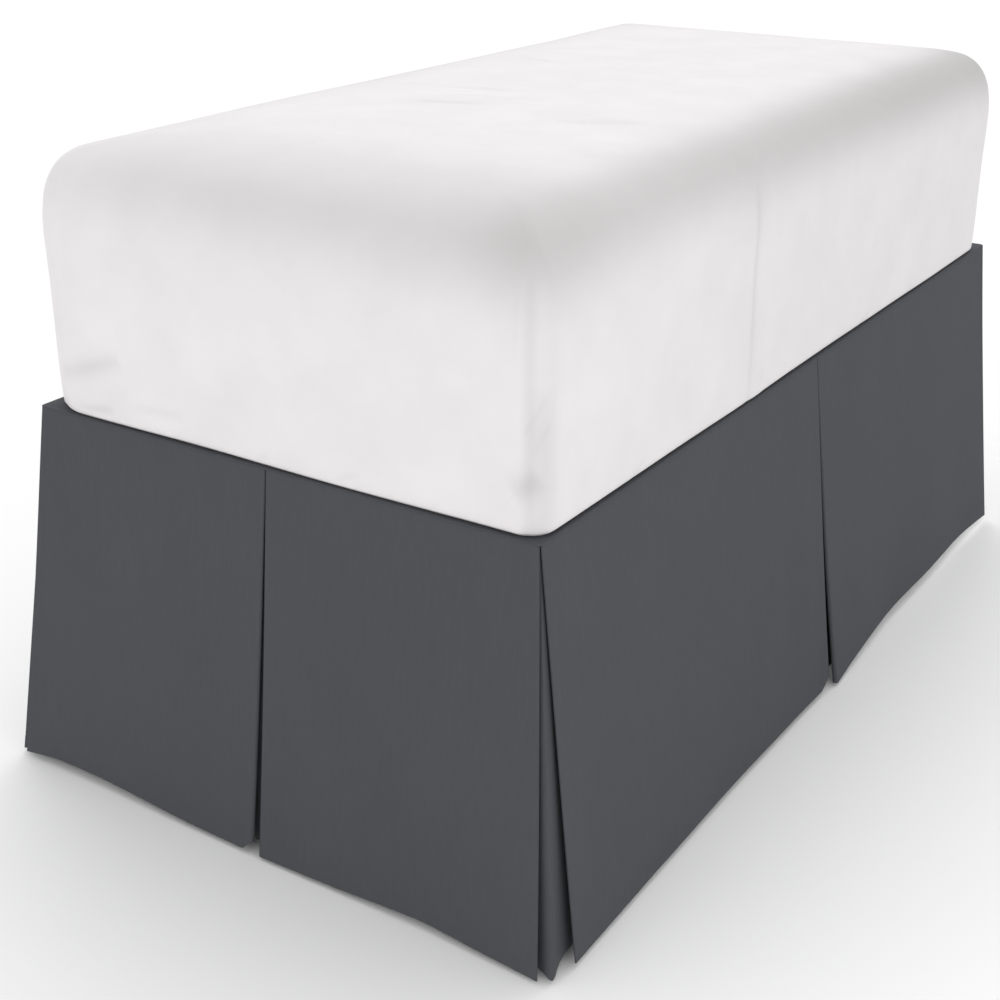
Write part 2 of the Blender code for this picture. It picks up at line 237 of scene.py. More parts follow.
# Folds, puckers and seams of the sheet. Both ends are given across from the middle, from the foot
# and up from the underside, then half the width, the height out of the surface, and painted shade.
NEAR_CORNER_CREASES = (
    Crease((0.455, 0.000, 0.225), (0.455, 0.000, 0.415), 0.0050, 1.2 * MM, 0.00),
    Crease((0.470, 0.005, -0.030), (0.470, 0.005, 0.420), 0.0100, -2.0 * MM, 0.22),
    Crease((0.462, 0.002, 0.150), (0.487, 0.022, 0.205), 0.0040, -1.1 * MM, 0.12),
    Crease((0.468, 0.004, 0.138), (0.490, 0.026, 0.190), 0.0040, 1.1 * MM, 0.00),
    Crease((0.474, 0.007, 0.124), (0.492, 0.032, 0.172), 0.0040, -1.0 * MM, 0.10),
    Crease((0.446, 0.000, 0.064), (0.484, 0.012, 0.092), 0.0190, -0.9 * MM, 0.34),
    # The last two only paint shade down the near corner, with no fold in the surface
    Crease((0.484, 0.020, -0.060), (0.484, 0.020, 0.330), 0.0260, 0.0 * MM, 0.18),
    Crease((0.484, 0.020, 0.010), (0.484, 0.020, 0.220), 0.0200, 0.0 * MM, 0.18),
)
FOOT_CREASES = (
    Crease((-0.442, 0.010, 0.066), (-0.296, 0.000, 0.114), 0.0150, -4.6 * MM, 0.32),
    Crease((-0.440, 0.010, 0.035), (-0.300, 0.000, 0.060), 0.0100, 4.6 * MM, 0.00),
    Crease((-0.458, 0.016, 0.006), (-0.320, 0.000, 0.026), 0.0080, -3.0 * MM, 0.40),
    Crease((-0.272, 0.000, 0.040), (-0.166, 0.000, 0.047), 0.0090, -2.4 * MM, 0.15),
    Crease((-0.020, 0.000, 0.010), (0.008, 0.000, 0.022), 0.0045, -1.2 * MM, 0.14),
    Crease((0.136, 0.000, 0.014), (0.184, 0.000, 0.030), 0.0050, -1.2 * MM, 0.12),
    Crease((0.290, 0.000, 0.006), (0.325, 0.000, 0.016), 0.0045, -1.0 * MM, 0.10),
)
TOP_CREASES = (
    Crease((-0.150, 0.600, 0.449), (-0.028, 0.640, 0.450), 0.0110, -2.2 * MM, 0.16),
    Crease((-0.160, 0.680, 0.449), (-0.028, 0.720, 0.450), 0.0100, 1.6 * MM, 0.00),
    Crease((-0.190, 0.750, 0.449), (-0.040, 0.785, 0.450), 0.0110, -2.0 * MM, 0.12),
    Crease((0.160, 0.560, 0.448), (0.290, 0.650, 0.447), 0.0110, -2.2 * MM, 0.15),
    Crease((0.120, 0.430, 0.448), (0.190, 0.480, 0.448), 0.0090, -1.4 * MM, 0.10),
    Crease((-0.300, 1.150, 0.447), (-0.120, 1.080, 0.450), 0.0120, -1.8 * MM, 0.08),
)
WALL_CREASES = (
    Crease((0.494, 0.260, 0.008), (0.494, 0.300, 0.026), 0.0050, -1.2 * MM, 0.10),
    Crease((0.494, 1.160, 0.006), (0.494, 1.225, 0.024), 0.0060, -1.4 * MM, 0.10),
    Crease((0.494, 0.700, 0.030), (0.494, 0.704, 0.052), 0.0040, -1.0 * MM, 0.16),
    Crease((-0.494, 0.340, 0.008), (-0.494, 0.395, 0.028), 0.0060, -1.4 * MM, 0.10),
    Crease((-0.494, 1.380, 0.006), (-0.494, 1.450, 0.030), 0.0070, -1.6 * MM, 0.10),
    Crease((-0.150, 1.903, 0.010), (-0.080, 1.903, 0.030), 0.0060, -1.4 * MM, 0.10),
)

# Box spring: its corners' radius, its piping's radius and inset, and the rows of its border, as
# distance from the top or the underside and inset
BASE_CORNER = 0.030
PIPING = 0.0035
PIPING_INSET = 0.0015
BORDER_ROWS = (
    (0.02, 0.0035),
    (0.08, 0.0015),
)
BORDER_MIDDLE_INSET = 0.001

# Bolt heads: radius, height, and how far below the leg's top they sit
BOLT_RADIUS = 0.0065
BOLT_HEAD = 0.0045
BOLT_DROPS = (0.012, 0.036)

# Darkest and lightest tone of each cloth, and the grey painted on the sheet as shade
SKIRT_DARK = (0.0640, 0.0663, 0.0739, 1)
SKIRT_LIGHT = (0.0774, 0.0799, 0.0885, 1)
SHEET_DARK = (0.750, 0.727, 0.734, 1)
SHEET_LIGHT = (0.790, 0.767, 0.774, 1)
SHEET_PAINTED_SHADE = (0.46, 0.455, 0.45, 1)

Lamp = namedtuple("Lamp", "name kind place target strength spread")
# Soft daylight from behind the head, and two soft lamps at the foot. The spread is a disk's width
# in metres, or a sun's angle in degrees.
LAMPS = (
    Lamp("window", "SUN", (-1.2, 2.6, 2.8), (0, 0, 0), 1.15, 70),
    Lamp("near_corner", "AREA", (2.2, -1.7, 1.1), (0.55, -0.7, 0.5), 5.5, 1.4),
    Lamp("foot", "AREA", (-0.4, -4.2, 1.2), (0, -0.9, 0.5), 11, 2.0),
)
SKY_STRENGTH = 0.90
FLOOR_REACH = 14.0

# Camera at the photo's viewing angle, in degrees and metres. The lens is for a 36 mm sensor.
CAMERA_PLACE = (1.513, -2.558, 1.600)
CAMERA_AZIMUTH = 33.39
CAMERA_ELEVATION = 24.0
CAMERA_LENS = 56.66
SENSOR_WIDTH = 36.0

Drop = namedtuple("Drop", "name place ends pleat_opening tuck panels puckers seed flat")


def mix(start, end, share):
    return start + (end - start) * share


def smooth_step(value, low, high):
    share = min(1.0, max(0.0, (value - low) / (high - low)))
    return share * share * (3 - 2 * share)


def read_rows(rows, share, column):
    """Reads a column of a table at a share between its rows, on a smooth curve through them."""
    last = len(rows) - 1
    k = next((i for i in range(last) if share <= rows[i + 1][0]), last - 1)

    def slope(i):
        before = rows[max(i - 1, 0)]
        after = rows[min(i + 1, last)]
        return (after[column] - before[column]) / (after[0] - before[0])

    width = rows[k + 1][0] - rows[k][0]
    t = (share - rows[k][0]) / width
    return (
        (2 * t**3 - 3 * t**2 + 1) * rows[k][column]
        + (t**3 - 2 * t**2 + t) * width * slope(k)
        + (3 * t**2 - 2 * t**3) * rows[k + 1][column]
        + (t**3 - t**2) * width * slope(k + 1)
    )


def smooth_path(points, pitch=None, steps_each=None):
    """Points on a smooth curve through the given ones, a pitch apart or so many in each part."""
    path = [tuple(points[0])]
    for k in range(len(points) - 1):
        before = points[max(k - 1, 0)]
        start = points[k]
        end = points[k + 1]
        after = points[min(k + 2, len(points) - 1)]
        steps = steps_each or max(1, round(math.dist(start, end) / pitch))
        for step in range(1, steps + 1):
            t = step / steps
            point = []
            for a, b, c, d in zip(before, start, end, after):
                square = 2 * a - 5 * b + 4 * c - d
                cube = 3 * b - a - 3 * c + d
                point.append(0.5 * (2 * b + (c - a) * t + square * t**2 + cube * t**3))
            path.append(tuple(point))
    return path


def make_piece(name, points, faces, material, smooth_angle=50):
    """A mesh object that rides on the bed, with outward faces and soft shading."""
    mesh = bpy.data.meshes.new(name)
    mesh.from_pydata(points, [], faces)
    shape = bmesh.new()
    shape.from_mesh(mesh)
    bmesh.ops.recalc_face_normals(shape, faces=shape.faces)
    caps = [face for face in shape.faces if len(face.verts) > 6]
    bmesh.ops.triangulate(shape, faces=caps, ngon_method="BEAUTY")
    shape.to_mesh(mesh)
    shape.free()
    mesh.materials.append(material)
    mesh.shade_smooth()
    mesh.set_sharp_from_angle(angle=math.radians(smooth_angle))
    piece = bpy.data.objects.new(name, mesh)
    bpy.context.scene.collection.objects.link(piece)
    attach(piece, "root")
    return piece


class Nodes:
    """A short way to write a material's nodes."""

    def __init__(self, name):
        self.material = bpy.data.materials.new(name)
        self.material.use_nodes = True
        self.tree = self.material.node_tree
        self.shader = self.tree.nodes["Principled BSDF"]

    def add(self, kind, inputs=None, **settings):
        node = self.tree.nodes.new(kind)
        for key, value in settings.items():
            setattr(node, key, value)
        for key, value in (inputs or {}).items():
            self.feed(node.inputs[key], value)
        return node

    def feed(self, socket, value):
        if isinstance(value, bpy.types.NodeSocket):
            self.tree.links.new(value, socket)
        else:
            socket.default_value = value

    def place(self, stretch):
        """The surface's place in metres, times a stretch along each axis."""
        where = self.add("ShaderNodeTexCoord").outputs["Object"]
        return self.add("ShaderNodeMapping", {"Vector": where, "Scale": stretch}).outputs["Vector"]

    def math(self, operation, first, second=0.0):
        return self.add("ShaderNodeMath", {0: first, 1: second}, operation=operation).outputs[0]

    def noise(self, stretch, detail=3.0, roughness=0.5):
        """Noise from 0 to 1 with so many repeats in a metre along each axis."""
        inputs = {"Vector": self.place(stretch), "Scale": 1.0}
        inputs |= {"Detail": detail, "Roughness": roughness}
        return self.add("ShaderNodeTexNoise", inputs).outputs["Fac"]

    def remap(self, value, old, new):
        inputs = {"Value": value, "From Min": old[0], "From Max": old[1]}
        inputs |= {"To Min": new[0], "To Max": new[1]}
        return self.add("ShaderNodeMapRange", inputs).outputs["Result"]

    def blend(self, share, first, second):
        node = self.add("ShaderNodeMix", data_type="RGBA")
        self.feed(node.inputs[0], share)
        self.feed(node.inputs[6], first)
        self.feed(node.inputs[7], second)
        return node.outputs[2]

    def weave(self, pitch, share_of_warp=0.5):
        """Height of a plain weave of threads a pitch apart, for upright and level faces."""
        x, y, z = self.add("ShaderNodeSeparateXYZ", {0: self.place((1, 1, 1))}).outputs
        turn = 2 * math.pi / pitch
        warp = self.math("SINE", self.math("MULTIPLY", self.math("ADD", x, y), turn))
        across = self.math("ADD", z, self.math("SUBTRACT", x, y))
        weft = self.math("SINE", self.math("MULTIPLY", across, turn))
        both = self.math("MULTIPLY", warp, weft)
        ribs = self.math("MULTIPLY", self.math("ADD", warp, weft), share_of_warp)
        return self.math("ADD", both, ribs)

    def bump(self, height, distance, strength=1.0, under=None):
        inputs = {"Height": height, "Distance": distance, "Strength": strength}
        if under is not None:
            inputs["Normal"] = under
        return self.add("ShaderNodeBump", inputs).outputs["Normal"]

    def finish(self, colour, roughness, normal=None):
        self.feed(self.shader.inputs["Base Color"], colour)
        self.feed(self.shader.inputs["Roughness"], roughness)
        if normal is not None:
            self.feed(self.shader.inputs["Normal"], normal)
        return self.material


def skirt_cloth():
    """Charcoal plain weave with faint streaks along its upright threads."""
    nodes = Nodes("skirt_cloth")
    streaks = nodes.noise((170, 170, 3.0), detail=4.0, roughness=0.65)
    slubs = nodes.noise((700, 700, 40), detail=2.0)
    patches = nodes.noise((7, 7, 4), detail=2.0)
    fine = nodes.math("MULTIPLY", slubs, 0.2)
    tone = nodes.math("ADD", nodes.math("MULTIPLY", streaks, 0.55), fine)
    tone = nodes.math("ADD", tone, nodes.math("MULTIPLY", patches, 0.25))
    share = nodes.remap(tone, (0.25, 0.75), (0.0, 1.0))
    colour = nodes.blend(share, SKIRT_DARK, SKIRT_LIGHT)
    fuzz = nodes.noise((1500, 1500, 1500), detail=2.0)
    normal = nodes.bump(nodes.weave(0.0011), 0.00008, 0.5)
    normal = nodes.bump(fuzz, 0.0001, 0.4, normal)
    nodes.shader.inputs["Sheen Weight"].default_value = 0.02
    nodes.shader.inputs["Sheen Roughness"].default_value = 0.5
    nodes.shader.inputs["Specular IOR Level"].default_value = 0.15
    roughness = nodes.remap(slubs, (0.3, 0.7), (0.84, 0.94))
    return nodes.finish(colour, roughness, normal)


def fitted_sheet():
    """White cotton, softly greyer where the painted shade attribute says so."""
    nodes = Nodes("fitted_sheet")
    cloud = nodes.noise((9, 9, 9), detail=4.0, roughness=0.55)
    base = nodes.blend(nodes.remap(cloud, (0.3, 0.7), (0, 1)), SHEET_DARK, SHEET_LIGHT)
    # Painted shade along the top edges and in the creases, read from the mesh's shade attribute
    shade = nodes.add("ShaderNodeAttribute", attribute_name="shade").outputs["Fac"]
    colour = nodes.blend(shade, base, SHEET_PAINTED_SHADE)
    fuzz = nodes.noise((900, 900, 900), detail=2.0)
    folds = nodes.noise((22, 22, 14), detail=3.0)
    normal = nodes.bump(folds, 0.004, 0.25)
    normal = nodes.bump(nodes.weave(0.0009), 0.00006, 0.5, normal)
    normal = nodes.bump(fuzz, 0.0001, 0.3, normal)
    nodes.shader.inputs["Sheen Weight"].default_value = 0.15
    nodes.shader.inputs["Specular IOR Level"].default_value = 0.2
    return nodes.finish(colour, nodes.remap(fuzz, (0.3, 0.7), (0.86, 0.95)), normal)


def box_spring_cover():
    """Off-white ticking with thin woven lines."""
    nodes = Nodes("box_spring_cover")
    x, y, _ = nodes.add("ShaderNodeSeparateXYZ", {0: nodes.place((1, 1, 1))}).outputs
    line = nodes.math("SINE", nodes.math("MULTIPLY", nodes.math("ADD", x, y), 2 * math.pi / 0.012))
    line = nodes.remap(line, (0.86, 1.0), (0.0, 1.0))
    cloud = nodes.noise((14, 14, 14), detail=3.0)
    base = nodes.blend(cloud, (0.57, 0.55, 0.51, 1), (0.66, 0.64, 0.60, 1))
    colour = nodes.blend(nodes.math("MULTIPLY", line, 0.35), base, (0.44, 0.42, 0.38, 1))
    normal = nodes.bump(nodes.weave(0.0012), 0.0001, 0.6)
    nodes.shader.inputs["Specular IOR Level"].default_value = 0.2
    return nodes.finish(colour, nodes.remap(cloud, (0.3, 0.7), (0.86, 0.95)), normal)


def frame_enamel():
    """Dark powder enamel with a fine orange-peel surface and a few rubbed places."""
    nodes = Nodes("frame_enamel")
    rub = nodes.noise((30, 30, 30), detail=5.0, roughness=0.7)
    rub = nodes.remap(rub, (0.60, 0.78), (0.0, 1.0))
    colour = nodes.blend(rub, (0.030, 0.031, 0.033, 1), (0.055, 0.056, 0.058, 1))
    peel = nodes.noise((420, 420, 420), detail=2.0)
    roughness = nodes.remap(peel, (0.3, 0.7), (0.36, 0.50))
    return nodes.finish(colour, roughness, nodes.bump(peel, 0.00015, 0.5))


def foot_plastic():
    """Dull black plastic of the feet."""
    nodes = Nodes("foot_plastic")
    grain = nodes.noise((900, 900, 900), detail=3.0)
    colour = nodes.blend(grain, (0.018, 0.018, 0.019, 1), (0.026, 0.026, 0.027, 1))
    roughness = nodes.remap(grain, (0.3, 0.7), (0.50, 0.64))
    return nodes.finish(colour, roughness, nodes.bump(grain, 0.0001, 0.5))


def layer_pitch(fall):
    return mix(LAYER_PITCH_TOP, LAYER_PITCH_HEM, fall)


def opened(fall):
    """How far a pleat has opened at a level: 0 where it is sewn shut, 1 at the hem."""
    return max(0.0, (fall - CLOSED_SHARE) / (1 - CLOSED_SHARE))


def level_shares():
    """Levels down a drop as shares of its height, closer at the seam and at the hem's stitches."""
    top = [0.0, 0.0012, 0.003, 0.006, 0.010]
    hem_line = DROP - HEM_WIDTH
    near_hem = [-0.004, -0.0015, 0.0, HEM_STEP, 0.006, 0.014, 0.020, 0.0235, 0.025, HEM_WIDTH]
    steps = round((hem_line - top[-1]) / LEVEL_PITCH)
    even = [mix(top[-1], hem_line - 0.008, k / steps) for k in range(1, steps + 1)]
    return [distance / DROP for distance in top + even + [hem_line + place for place in near_hem]]


def panel_shares(width):
    """Places across a panel as shares of its width, closer at its two ends."""
    end = [0.0, 0.0015, 0.004, 0.008, SIDE_HEM_WIDTH, SIDE_HEM_WIDTH + HEM_STEP, 0.020]
    steps = round((width - 2 * end[-1]) / PANEL_PITCH)
    middle = [mix(end[-1], width - end[-1], k / steps) for k in range(1, steps)]
    return [place / width for place in end + middle + [width - place for place in end[::-1]]]


def cloth_half(fall, end_distance):
    """Half the cloth's thickness, more where the hem or a side hem doubles it."""
    below = smooth_step((fall - 1) * DROP + HEM_WIDTH, 0.0, HEM_STEP)
    beside = 1 - smooth_step(end_distance, SIDE_HEM_WIDTH, SIDE_HEM_WIDTH + HEM_STEP)
    return mix(CLOTH, HEM_CLOTH, max(below, beside)) / 2


def hang_unevenness(drop, along, fall):
    """How far the hung cloth stands out of its smooth panel at a place."""
    out = 0.0
    for k, (along_rate, down_rate, height) in enumerate(WAVES):
        out += height * noise.noise((along * along_rate, fall * down_rate, drop.seed + 5.0 * k))
    out *= smooth_step(fall, 0.0, 0.35)
    for pucker in drop.puckers:
        down = fall * DROP / pucker.length
        if down < 2.5:
            offset = (along - pucker.along - pucker.lean * down) / pucker.width
            out += pucker.depth * math.exp(-offset**2) * math.exp(-(down**2)) * min(1.0, down * 6)
    return out


def panel_points(drop, start, end, rows, tuck, fall, shares):
    """A front panel's centre line at one level: along the bed, out from it, its hem's lift, and the
    distance to its free end."""
    points = []
    for share in shares:
        along = mix(start, end, share)
        out = FLARE * fall + read_rows(rows, share, 1) * fall**2 - SOLID_CLOTH / 2
        out += hang_unevenness(drop, along, fall)
        lift = read_rows(rows, share, 2)
        lift += tuck * max(0.0, (share - TUCK_START) / (1 - TUCK_START))
        points.append((along, out, lift))
    return points


def turn_points(layer_end, pitch, way):
    """A fold's half circle behind the end of a layer, bulging along the bed by its radius."""
    along, out, lift = layer_end
    radius = pitch / 2
    points = []
    for step in range(1, TURN_STEPS + 1):
        a = math.pi * step / TURN_STEPS
        behind = radius - radius * math.cos(a)
        points.append((along + way * radius * math.sin(a), out - behind, lift))
    return points


def run_points(start, end, steps):
    """A straight run of cloth after a point, up to another one."""
    return [tuple(mix(a, b, k / steps) for a, b in zip(start, end)) for k in range(1, steps + 1)]


def drop_line(drop, fall, shares):
    """A drop's centre line at one level, through both panels and the pleat between them."""
    pitch = layer_pitch(fall)
    (first_top, first_hem), (last_top, last_hem) = drop.ends
    fold = (FOLD_GAP + SOLID_CLOTH + pitch) / 2 + drop.pleat_opening / 2 * opened(fall)
    first_start = mix(first_top, first_hem, fall)
    last_end = mix(last_top, last_hem, fall)
    first = panel_points(drop, first_start, -fold, drop.panels[0], drop.tuck, fall, shares)
    last = panel_points(drop, fold, last_end, drop.panels[1], 0.0, fall, shares)
    back = FLARE * fall - SOLID_CLOTH / 2 - pitch
    lift = UNDERLAY_LIFT

    into = turn_points(first[-1], pitch, 1)
    into += run_points(into[-1], (-PLEAT_DEPTH, back, lift), RETURN_STEPS)
    into += turn_points(into[-1], pitch, -1)
    out_of = turn_points(last[0], pitch, -1)
    out_of += run_points(out_of[-1], (PLEAT_DEPTH, back, lift), RETURN_STEPS)
    out_of += turn_points(out_of[-1], pitch, 1)
    under = run_points(into[-1], out_of[-1], UNDERLAY_STEPS)[:-1]
    return first + into + under + out_of[::-1] + last


def sheet_mesh(falls, lines, place):
    """Points and faces of a closed sheet around centre lines at the levels of a drop.

    A line has points of along, out and lift. The sheet's two faces lie half a cloth to each side
    of it, and its edges are closed.
    """
    points = []
    rows = len(lines)
    columns = len(lines[0])
    for side in (1, -1):
        for fall, line in zip(falls, lines):
            runs = [math.dist(a[:2], b[:2]) for a, b in zip(line, line[1:])]
            length = sum(runs)
            passed = 0.0
            for k, (along, out, lift) in enumerate(line):
                before = line[max(k - 1, 0)]
                after = line[min(k + 1, columns - 1)]
                run = math.hypot(after[0] - before[0], after[1] - before[1])
                half = side * cloth_half(fall, min(passed, length - passed))
                x, y = place(
                    along - half * (after[1] - before[1]) / run,
                    out + half * (after[0] - before[0]) / run,
                )
                points.append((x, y + BED_MIDDLE_Y, SKIRT_TOP - fall * (DROP - lift)))
                if k < columns - 1:
                    passed += runs[k]

    faces = []
    other = rows * columns
    for i in range(rows - 1):
        for k in range(columns - 1):
            a = i * columns + k
            quad = (a, a + 1, a + columns + 1, a + columns)
            faces.append(quad)
            faces.append(tuple(other + corner for corner in quad[::-1]))
        for k in (0, columns - 1):
            a = i * columns + k
            faces.append((a, a + columns, other + a + columns, other + a))
    for k in range(columns - 1):
        for i in (0, rows - 1):
            a = i * columns + k
            faces.append((a, a + 1, other + a + 1, other + a))
    return points, faces


def foot_place(along, out):
    return along, -HALF_LENGTH - out


def right_place(along, out):
    return HALF_WIDTH + out, along


def left_place(along, out):
    return -HALF_WIDTH - out, along


def make_drops(cloth):
    """The foot drop and the two side drops. An end is given at its top and at its hem."""
    corner_x = (HALF_WIDTH - CORNER_NOTCH, HALF_WIDTH + FOOT_CORNER_SPREAD * FLARE)
    corner_y = (HALF_LENGTH - CORNER_NOTCH, HALF_LENGTH + SIDE_CORNER_SPREAD * FLARE)
    foot_ends = ((-corner_x[0], -corner_x[1]), corner_x)
    side_ends = ((-corner_y[0], -corner_y[1]), (HALF_LENGTH, HALF_LENGTH))
    foot_panels = (FOOT_PANEL_LEFT, FOOT_PANEL_RIGHT)
    right_panels = (NEAR_PANEL_RIGHT, FAR_PANEL_RIGHT)
    left_panels = (NEAR_PANEL_LEFT, FAR_PANEL_LEFT)
    pleat_cloth = 4 * PLEAT_DEPTH
    foot_flat = (2 * HALF_WIDTH + pleat_cloth, DROP)
    side_flat = (2 * HALF_LENGTH + pleat_cloth, DROP)
    foot = Drop(
        name="foot_drop",
        place=foot_place,
        ends=foot_ends,
        pleat_opening=0.012,
        tuck=0.018,
        panels=foot_panels,
        puckers=FOOT_PUCKERS,
        seed=1.3,
        flat=foot_flat,
    )
    right = Drop(
        name="side_drop_right",
        place=right_place,
        ends=side_ends,
        pleat_opening=0.018,
        tuck=0.018,
        panels=right_panels,
        puckers=SIDE_PUCKERS,
        seed=4.7,
        flat=side_flat,
    )
    left = Drop(
        name="side_drop_left",
        place=left_place,
        ends=side_ends,
        pleat_opening=0.015,
        tuck=0.010,
        panels=left_panels,
        puckers=SIDE_PUCKERS,
        seed=8.1,
        flat=side_flat,
    )
    falls = level_shares()
    for drop in (foot, right, left):
        shares = panel_shares(drop.ends[1][0])
        lines = [drop_line(drop, fall, shares) for fall in falls]
        piece = make_piece(f"{drop.name}_cloth", *sheet_mesh(falls, lines, drop.place), cloth)
        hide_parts(drop.name)


def insert_half(fall):
    """Distances inward from the flared corner, from an insert's hidden edge to its ridge."""
    rows = [(distance, mix(top, hem, fall), lift) for distance, top, hem, lift in INSERT_ROWS]
    rows.append((INSERT_RIDGE_DEPTH, INSERT_RIDGE_DEPTH, 0.0))
    return smooth_path(rows, steps_each=INSERT_STEPS_EACH)


def make_corner_insert(name, side, cloth):
    """The underlay behind a split foot corner. side is 1 at +X and -1 at -X."""
    falls = level_shares()
    lines = []
    for fall in falls:
        reach = FLARE * fall
        half = insert_half(fall)
        inward = half + [(depth, distance, lift) for distance, depth, lift in half[-2::-1]]
        corner = (HALF_WIDTH + reach, HALF_LENGTH + reach)
        lines.append([(corner[0] - a, corner[1] - b, lift) for a, b, lift in inward])

    def place(across, towards_foot):
        return side * across, -towards_foot

    piece = make_piece(f"{name}_cloth", *sheet_mesh(falls, lines, place), cloth)
    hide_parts(name)


def even_shares(steps):
    return [k / steps for k in range(1, steps)]


def plain_shares(across_steps, along_steps):
    """Even shares along the head, left, foot and right sides."""
    return 2 * (even_shares(across_steps), even_shares(along_steps))


def shares_with_seam(steps, seam, length):
    """Even shares of a side, with closer ones about a seam at a share of its length."""
    clear = max(SEAM_OFFSETS) + 2 * MM
    shares = [share for share in even_shares(steps) if abs(share - seam) * length > clear]
    return sorted(shares + [seam + offset / length for offset in SEAM_OFFSETS])


def rounded_rectangle(half_x, half_y, radii, corner_steps, side_shares):
    """Plan points of a rectangle with round corners, anticlockwise from its right side's end.

    side_shares has the shares of the points along the head, left, foot and right sides.
    """
    points = []
    corners = ((1, 1, 0), (-1, 1, 90), (-1, -1, 180), (1, -1, 270))
    for k, (sign_x, sign_y, start) in enumerate(corners):
        radius = radii[k]
        centre = (sign_x * (half_x - radius), sign_y * (half_y - radius))
        for step in range(corner_steps + 1):
            a = math.radians(start + 90 * step / corner_steps)
            points.append((centre[0] + radius * math.cos(a), centre[1] + radius * math.sin(a)))
        next_x, next_y, next_start = corners[(k + 1) % 4]
        next_radius = radii[(k + 1) % 4]
        turn = math.radians(next_start)
        goal = (
            next_x * (half_x - next_radius) + next_radius * math.cos(turn),
            next_y * (half_y - next_radius) + next_radius * math.sin(turn),
        )
        side_start = points[-1]
        for share in side_shares[k]:
            points.append(tuple(mix(a, b, share) for a, b in zip(side_start, goal)))
    return points


def stacked_mesh(profile, half_x, half_y, radii, floor, corner_steps, side_shares):
    """A closed body of rounded rectangles, one on top of another, from rows of height and inset."""
    points = []
    for height, inset in profile:
        shrunk = [max(radius - inset, 0.3 * radius * (1 - inset / half_x)) for radius in radii]
        ring = rounded_rectangle(half_x - inset, half_y - inset, shrunk, corner_steps, side_shares)
        points += [(x, y + BED_MIDDLE_Y, floor + height) for x, y in ring]
    count = len(ring)
    faces = []
    for i in range(len(profile) - 1):
        for k in range(count):
            after = (k + 1) % count
            low = i * count
            faces.append((low + k, low + after, low + count + after, low + count + k))
    faces.append(tuple(range(count))[::-1])
    faces.append(tuple((len(profile) - 1) * count + k for k in range(count)))
    return points, faces


def make_deck(cloth):
    """The platform cloth between mattress and base, with its edge rolled over the drops' seam."""
    thickness = DECK_HIGH.z - DECK_LOW.z
    profile = (
        (0.0, 0.0006),
        (0.0003, 0.0001),
        (0.5 * thickness, -0.0004),
        (thickness - 0.0004, 0.0001),
        (thickness, 0.0008),
        (thickness, 0.0060),
        (thickness - 0.0003, 0.0075),
        (thickness, 0.0090),
    )
    radii = (DECK_CORNER,) * 4
    half_x = HALF_WIDTH + DECK_OVERHANG
    half_y = HALF_LENGTH + DECK_OVERHANG
    mesh = stacked_mesh(profile, half_x, half_y, radii, DECK_LOW.z, 6, plain_shares(40, 80))
    piece = make_piece("platform_cloth", *mesh, cloth)
    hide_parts("deck")


def seam_creases(side):
    """The seam in a long wall of the sheet, a stitched groove with painted shade beside a flat
    fold.
    """
    x = side * (MATTRESS_HIGH.x - MATTRESS_LOW.x) / 2
    y = SEAM_FROM_FOOT
    return (
        Crease((x, y, -0.010), (x, y, 0.440), 0.0080, -1.6 * MM, 0.26),
        Crease((x, y + 0.020, -0.010), (x, y + 0.020, 0.440), 0.0090, 1.4 * MM, 0.00),
        Crease((x, y + 0.040, -0.010), (x, y + 0.040, 0.460), 0.0180, 2.2 * MM, 0.00),
    )


def crease_strength(places, crease):
    """How strongly a crease acts at each place: 1 on its middle, and none at its ends."""
    start = np.array(crease.start)
    line = np.array(crease.end) - start
    share = np.clip((places - start) @ line / (line @ line), 0.0, 1.0)
    gap = np.linalg.norm(places - start - share[:, None] * line, axis=1)
    return np.sqrt(4 * share * (1 - share)) * np.exp(-((gap / crease.width) ** 2))


def painted_edge_shade(places, half_x, half_y):
    """The painted shade of the rounded top edges at each place."""
    x, y, z = places.T
    inward = {"foot": y, "head": 2 * half_y - y, "right": half_x - x, "left": half_x + x}
    across = x / (2 * half_x) + 0.5
    along = y / (2 * half_y)
    clear = np.ones(len(places))
    for edge in PAINTED_EDGE_SHADES:
        share = across if edge.side in ("foot", "head") else along
        strength = np.interp(share, np.linspace(0, 1, len(edge.strengths)), edge.strengths)
        over_top = np.maximum(0.0, inward[edge.side] - EDGE_INSET) / edge.inward
        down_wall = np.maximum(0.0, EDGE_HEIGHT - z) / edge.downward
        clear *= 1 - strength * np.exp(-(over_top**2) - down_wall**2)
    return 1 - clear


